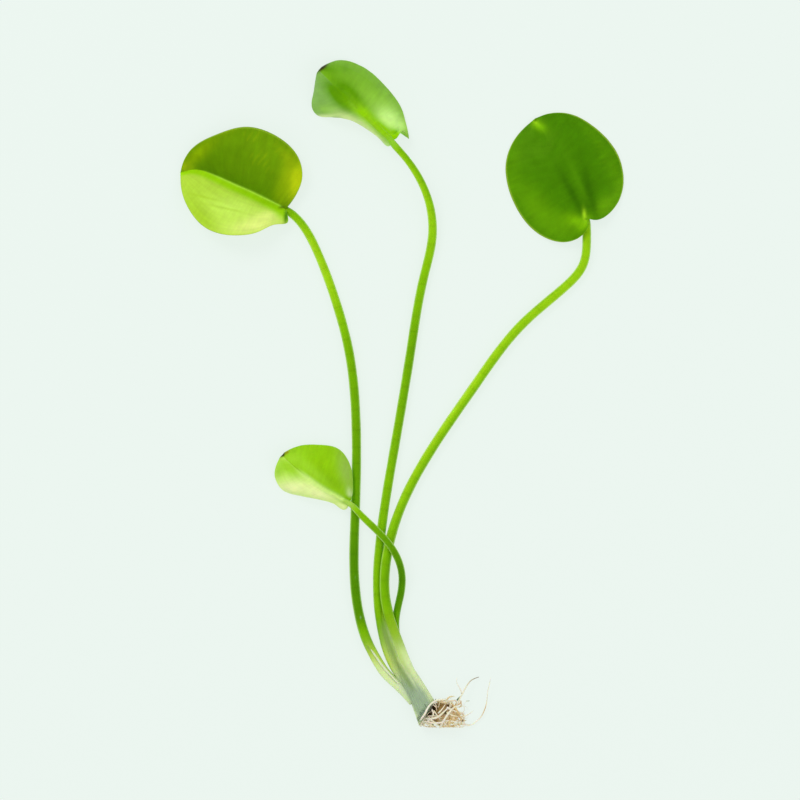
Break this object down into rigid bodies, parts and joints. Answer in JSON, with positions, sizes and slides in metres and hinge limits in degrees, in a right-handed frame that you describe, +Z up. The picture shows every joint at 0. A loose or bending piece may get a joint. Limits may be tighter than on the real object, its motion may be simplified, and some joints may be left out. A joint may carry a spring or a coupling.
{
  "type": "water poppy plant",
  "caption": "Whole water plant lying flat: long petioles with round floating leaves, leaving one short crown with a tuft of roots.",
  "frame": {"origin": "on the surface the plant lies on, under the middle of its bounding box", "axes": "+Z up from the surface, +Y from the roots towards the leaves, +X to the right seen from above"},
  "size_m": [0.1994, 0.3007, 0.0167],
  "materials": {
    "leaf_upper": "glossy waxy green leaf, upper side seen",
    "leaf_under": "satin light green leaf, underside seen",
    "petiole": "smooth translucent lime green stalk",
    "crown": "fibrous grey-green stem stock",
    "membrane": "thin pale translucent membrane",
    "root": "cream to tan fibrous roots"
  },
  "bodies": {
    "root": {"crown": "crown", "petiole_left": "petiole", "petiole_top": "petiole", "petiole_right": "petiole", "petiole_small": "petiole", "leaf_left": "leaf_upper", "leaf_top": "leaf_under", "leaf_right": "leaf_upper", "leaf_small": "leaf_under", "sheath": "membrane", "roots": "root"}
  },
  "joints": []
}
